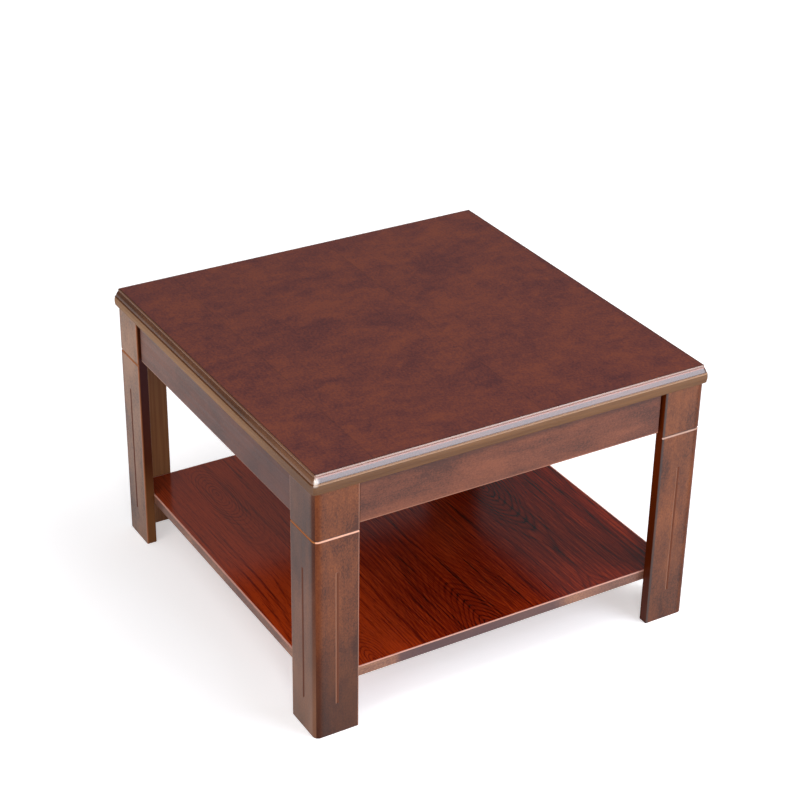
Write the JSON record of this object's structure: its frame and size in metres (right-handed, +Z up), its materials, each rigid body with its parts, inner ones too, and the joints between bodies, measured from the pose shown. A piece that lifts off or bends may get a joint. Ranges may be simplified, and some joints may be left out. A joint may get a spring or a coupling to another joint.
{
  "type": "tea table",
  "caption": "Low square tea table: veneered top in a mitred moulded edge, apron, grooved L-section legs with rounded corners, and an open lower shelf.",
  "frame": {"origin": "on the floor, under the middle of the top", "axes": "+X to the table's right, -Y to its front, +Z up"},
  "size_m": [0.6, 0.6, 0.396],
  "materials": {
    "top_veneer": "dark red-brown cloudy stain under a satin lacquer",
    "moulding_wood": "brown stain under a satin lacquer",
    "frame_wood": "red-brown stain under a satin lacquer",
    "shelf_veneer": "figured red veneer with dark streaks under a gloss lacquer",
    "edge_band": "thin stained veneer band",
    "softwood": "bare planed softwood",
    "steel": "zinc-plated steel",
    "brass": "plain turned brass"
  },
  "bodies": {
    "root": {"top_panel": "top_veneer", "front_edge_moulding": "moulding_wood", "back_edge_moulding": "moulding_wood", "left_edge_moulding": "moulding_wood", "right_edge_moulding": "moulding_wood", "front_apron": "frame_wood", "back_apron": "frame_wood", "left_apron": "frame_wood", "right_apron": "frame_wood", "front_left_leg_face_board": "frame_wood", "front_left_leg_side_board": "frame_wood", "front_right_leg_face_board": "frame_wood", "front_right_leg_side_board": "frame_wood", "back_left_leg_face_board": "frame_wood", "back_left_leg_side_board": "frame_wood", "back_right_leg_face_board": "frame_wood", "back_right_leg_side_board": "frame_wood", "shelf_panel": "shelf_veneer", "front_shelf_edge_band": "edge_band", "back_shelf_edge_band": "edge_band", "left_shelf_edge_band": "edge_band", "right_shelf_edge_band": "edge_band", "front_left_corner_block": "softwood", "front_right_corner_block": "softwood", "back_left_corner_block": "softwood", "back_right_corner_block": "softwood", "front_top_cleat": "softwood", "back_top_cleat": "softwood", "left_top_cleat": "softwood", "right_top_cleat": "softwood", "cleat_side_screws": "steel", "cleat_top_screws": "steel", "leg_bolts": "steel", "leg_bolt_washers": "steel", "leg_threaded_inserts": "brass", "shelf_cams": "steel", "shelf_cam_bolts": "steel"}
  },
  "joints": []
}
